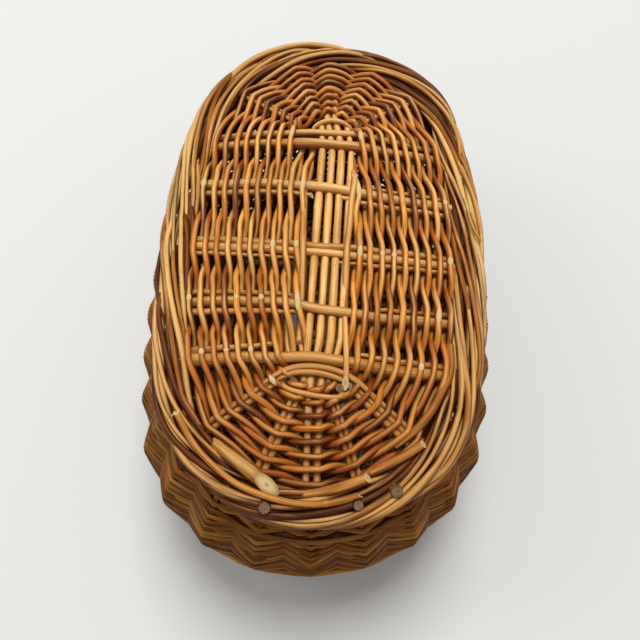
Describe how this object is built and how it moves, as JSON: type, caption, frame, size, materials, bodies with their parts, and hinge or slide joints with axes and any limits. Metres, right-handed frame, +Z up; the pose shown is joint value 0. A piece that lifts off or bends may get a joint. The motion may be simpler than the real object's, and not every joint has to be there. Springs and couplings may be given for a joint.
{
  "type": "wicker fishing creel",
  "caption": "Oval pot-bellied willow fishing creel with a randed wall on upright stakes and a woven lid hinged on a stick held by willow loops.",
  "frame": {"origin": "middle of the face that the creel stands on", "axes": "+Z up, +X towards the hinge side, +Y along the creel's length"},
  "size_m": [0.265, 0.429, 0.1957],
  "materials": {
    "border_rods": "satin",
    "weaving_rods": "satin",
    "willow_sticks": "satin",
    "wall_rods": "satin",
    "hinge_willow": "satin"
  },
  "bodies": {
    "creel": {"foot_border": "border_rods", "wall_outer_lower": "wall_rods", "wall_outer_upper": "wall_rods", "wall_inner_lower": "wall_rods", "wall_inner_upper": "wall_rods", "stakes": "willow_sticks", "rim_border": "border_rods", "hinge_loop_front": "hinge_willow", "hinge_loop_middle": "hinge_willow", "hinge_loop_back": "hinge_willow", "base_cross_sticks": "willow_sticks", "base_long_sticks": "willow_sticks", "base_fan_sticks": "willow_sticks", "base_weave_upper": "weaving_rods", "base_weave_lower": "weaving_rods"},
    "lid": {"hinge_stick": "hinge_willow", "lid_border_outer": "border_rods", "lid_border_inner": "border_rods", "lid_cross_sticks_1": "willow_sticks", "lid_cross_sticks_2": "willow_sticks", "lid_cross_sticks_3": "willow_sticks", "lid_cross_sticks_4": "willow_sticks", "lid_cross_sticks_5": "willow_sticks", "lid_long_stick_1": "willow_sticks", "lid_long_stick_2": "willow_sticks", "lid_long_stick_3": "willow_sticks", "lid_long_stick_4": "willow_sticks", "lid_fan_stick_front_outer_left": "willow_sticks", "lid_fan_stick_front_inner_left": "willow_sticks", "lid_fan_stick_front_inner_right": "willow_sticks", "lid_fan_stick_front_outer_right": "willow_sticks", "lid_fan_stick_back_outer_left": "willow_sticks", "lid_fan_stick_back_inner_left": "willow_sticks", "lid_fan_stick_back_inner_right": "willow_sticks", "lid_fan_stick_back_outer_right": "willow_sticks", "lid_bow_sticks_front": "willow_sticks", "lid_bow_sticks_back": "willow_sticks", "lid_side_stick_left": "willow_sticks", "lid_side_stick_right": "willow_sticks", "lid_weave_upper": "weaving_rods", "lid_weave_lower": "weaving_rods"}
  },
  "joints": [
    {"name": "lid_hinge", "type": "hinge", "parent": "creel", "child": "lid", "pos_m": [0.1145, 0, 0.16924], "axis": [0, 1, 0], "range_deg": [0, 110]}
  ]
}
